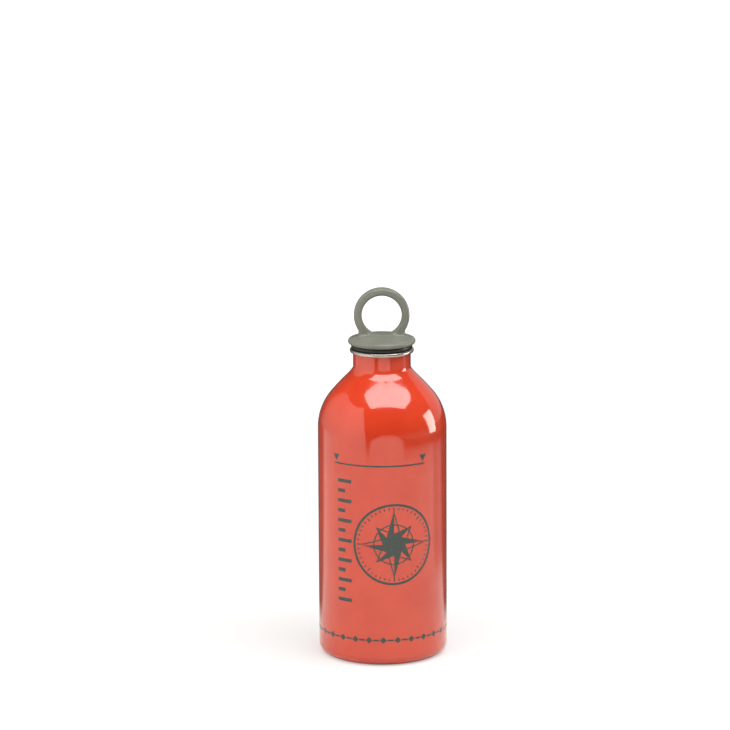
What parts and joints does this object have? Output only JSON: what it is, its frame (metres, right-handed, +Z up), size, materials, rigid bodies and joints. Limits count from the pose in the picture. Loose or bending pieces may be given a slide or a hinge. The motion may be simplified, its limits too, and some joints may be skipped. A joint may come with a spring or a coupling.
{
  "type": "camping fuel bottle",
  "caption": "Small enamelled aluminium fuel bottle with a necked shoulder, a bare metal mouth ring, a rubber seal and a screw stopper with a round carrying loop.",
  "frame": {"origin": "centre of the foot ring, on the surface that the bottle stands on", "axes": "+Z up along the bottle's axis; the loop's hole runs along Y, and the front is towards -Y"},
  "size_m": [0.0635, 0.0634, 0.1837],
  "materials": {
    "red_enamel": "gloss enamel",
    "bare_aluminium": "turned, bright",
    "black_rubber": "matt",
    "grey_green_plastic": "satin moulding"
  },
  "bodies": {
    "bottle": {"bottle_shell": "red_enamel", "neck_thread_ring": "bare_aluminium"},
    "seal": {"cap_seal_ring": "black_rubber"},
    "stopper": {"screw_stopper": "grey_green_plastic"}
  },
  "joints": [
    {"name": "stopper_lift", "type": "slide", "parent": "bottle", "child": "seal", "axis": [0, 0, 1], "range_m": [0, 0.015]},
    {"name": "stopper_turn", "type": "hinge", "parent": "seal", "child": "stopper", "pos_m": [0, 0, 0.15603], "axis": [0, 0, 1], "range_deg": [0, 1800]}
  ],
  "couplings": [
    {"joint": "stopper_lift", "follows": "stopper_turn", "m_per_rad": 0.00047746}
  ]
}
